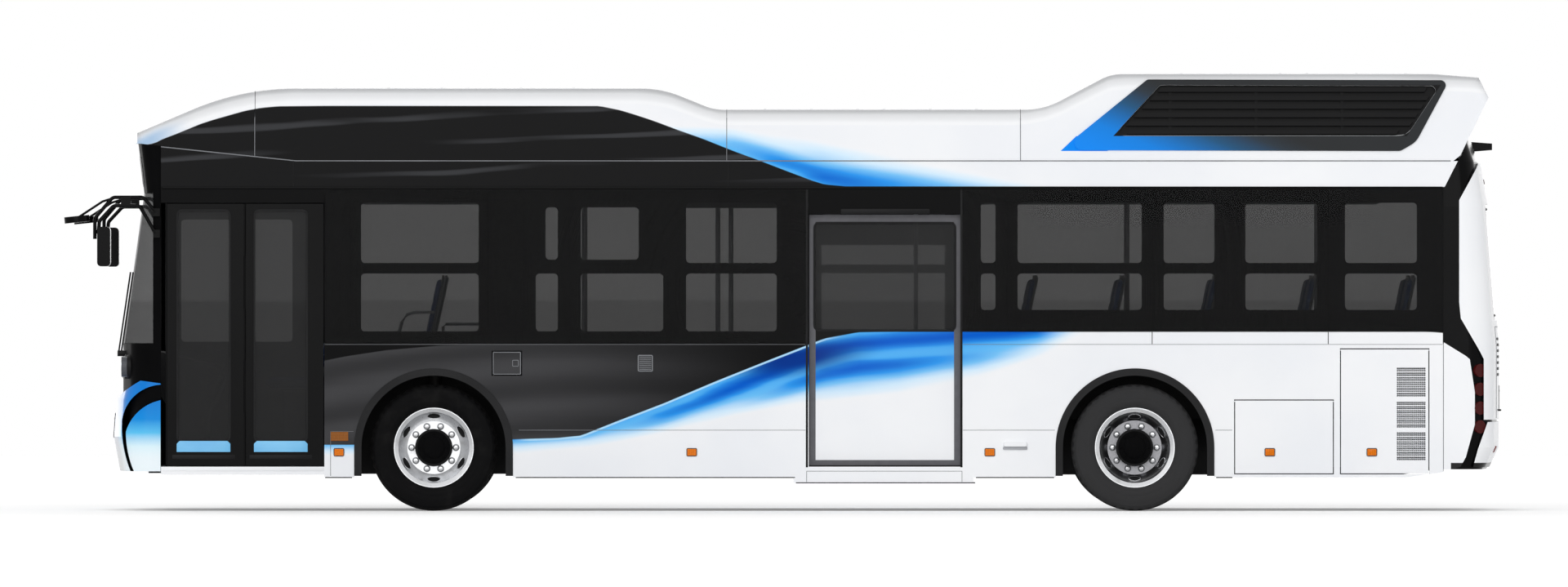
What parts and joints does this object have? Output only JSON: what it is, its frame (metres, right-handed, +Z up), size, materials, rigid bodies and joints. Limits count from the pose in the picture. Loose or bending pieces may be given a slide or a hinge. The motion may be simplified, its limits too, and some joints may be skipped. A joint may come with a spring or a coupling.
{
  "type": "city bus",
  "caption": "Low-floor single-deck city bus with a stepped roof fairing, folding front door, sliding centre door, steered front wheels and twin rear wheels.",
  "frame": {"origin": "on the road, midway along the overall length including the mirrors, on the centre plane", "axes": "+X towards the rear, -Y towards the door side, +Z up"},
  "size_m": [10.8719, 2.6419, 3.3049],
  "materials": {
    "paint": "gloss",
    "dark_paint": "gloss",
    "glass": "polished",
    "tyre": "matte",
    "rim": "satin",
    "iron": "matte",
    "rubber": "matte",
    "lining": "matte",
    "units": "matte",
    "seat_cloth": "woven",
    "rail": "satin",
    "lamp": "gloss"
  },
  "bodies": {
    "body": {"arch_trims": "dark_paint", "cantrails": "paint", "dashboard": "dark_paint", "fairing_front": "paint", "fairing_mid": "paint", "fairing_rear": "paint", "floor_deck": "lining", "front_axle": "iron", "front_bumper": "paint", "front_header": "dark_paint", "front_lamps": "lamp", "front_mask": "dark_paint", "handrails": "rail", "heavy_units": "units", "left_skirt": "paint", "left_window_wall": "dark_paint", "marker_lamps": "lamp", "mirrors": "dark_paint", "rear_axle": "iron", "rear_lamps": "lamp", "rear_panels": "paint", "rear_shell": "dark_paint", "rear_window": "glass", "right_skirt": "paint", "right_window_wall": "dark_paint", "roof_cap": "paint", "roof_louvres": "dark_paint", "roof_panel": "lining", "seats": "seat_cloth", "side_glass": "glass", "suspension": "rubber", "wheel_housings": "lining", "windscreen": "glass", "wipers": "dark_paint"},
    "knuckle_left": {"knuckle_left": "iron"},
    "knuckle_right": {"knuckle_right": "iron"},
    "front_left_wheel": {"wheel_front_left": "rim", "tyre_front_left": "tyre"},
    "front_right_wheel": {"wheel_front_right": "rim", "tyre_front_right": "tyre"},
    "rear_left_wheel": {"wheel_rear_left": "rim", "tyre_rear_left": "tyre"},
    "rear_right_wheel": {"wheel_rear_right": "rim", "tyre_rear_right": "tyre"},
    "door_front_leaf": {"door_leaf_front": "dark_paint", "door_glass_front": "glass"},
    "door_rear_leaf": {"door_leaf_rear": "dark_paint", "door_glass_rear": "glass"},
    "sliding_door": {"centre_door": "paint", "centre_door_glass": "glass"},
    "filler_flap": {"filler_lid": "paint"},
    "battery_flap": {"battery_hatch": "paint"},
    "vent_flap": {"vent_hatch": "paint"}
  },
  "joints": [
    {"name": "steer_left", "type": "hinge", "parent": "body", "child": "knuckle_left", "pos_m": [-2.645, -0.88, 0.4785], "axis": [0, 0, 1], "range_deg": [-42, 42]},
    {"name": "steer_right", "type": "hinge", "parent": "body", "child": "knuckle_right", "pos_m": [-2.645, 0.88, 0.4785], "axis": [0, 0, 1], "range_deg": [-42, 42]},
    {"name": "spin_front_left", "type": "hinge", "parent": "knuckle_left", "child": "front_left_wheel", "pos_m": [-2.645, -1.032, 0.4785], "axis": [0, 1, 0], "continuous": true},
    {"name": "spin_front_right", "type": "hinge", "parent": "knuckle_right", "child": "front_right_wheel", "pos_m": [-2.645, 1.032, 0.4785], "axis": [0, 1, 0], "continuous": true},
    {"name": "spin_rear_left", "type": "hinge", "parent": "body", "child": "rear_left_wheel", "pos_m": [2.655, -1.066, 0.4785], "axis": [0, 1, 0], "continuous": true},
    {"name": "spin_rear_right", "type": "hinge", "parent": "body", "child": "rear_right_wheel", "pos_m": [2.655, 1.066, 0.4785], "axis": [0, 1, 0], "continuous": true},
    {"name": "front_door_fold", "type": "hinge", "parent": "body", "child": "door_front_leaf", "pos_m": [-4.665, -1.232, 1.3], "axis": [0, 0, 1], "range_deg": [0, 82]},
    {"name": "front_door_second_leaf", "type": "hinge", "parent": "door_front_leaf", "child": "door_rear_leaf", "pos_m": [-4.0715, -1.232, 1.3], "axis": [0, 0, 1], "range_deg": [-164, 0]},
    {"name": "centre_door_slide", "type": "slide", "parent": "body", "child": "sliding_door", "axis": [-1, 0, 0], "range_m": [0, 1.06]},
    {"name": "filler_flap_hinge", "type": "hinge", "parent": "body", "child": "filler_flap", "pos_m": [-2.192, -1.234, 1.117], "axis": [0, 0, -1], "range_deg": [0, 100]},
    {"name": "battery_flap_hinge", "type": "hinge", "parent": "body", "child": "battery_flap", "pos_m": [3.781, -1.234, 0.829], "axis": [-1, 0, 0], "range_deg": [0, 85]},
    {"name": "vent_flap_hinge", "type": "hinge", "parent": "body", "child": "vent_flap", "pos_m": [4.542, -1.234, 1.216], "axis": [-1, 0, 0], "range_deg": [0, 85]}
  ],
  "couplings": [
    {"joint": "steer_right", "follows": "steer_left", "ratio": 1},
    {"joint": "front_door_second_leaf", "follows": "front_door_fold", "ratio": -2}
  ]
}
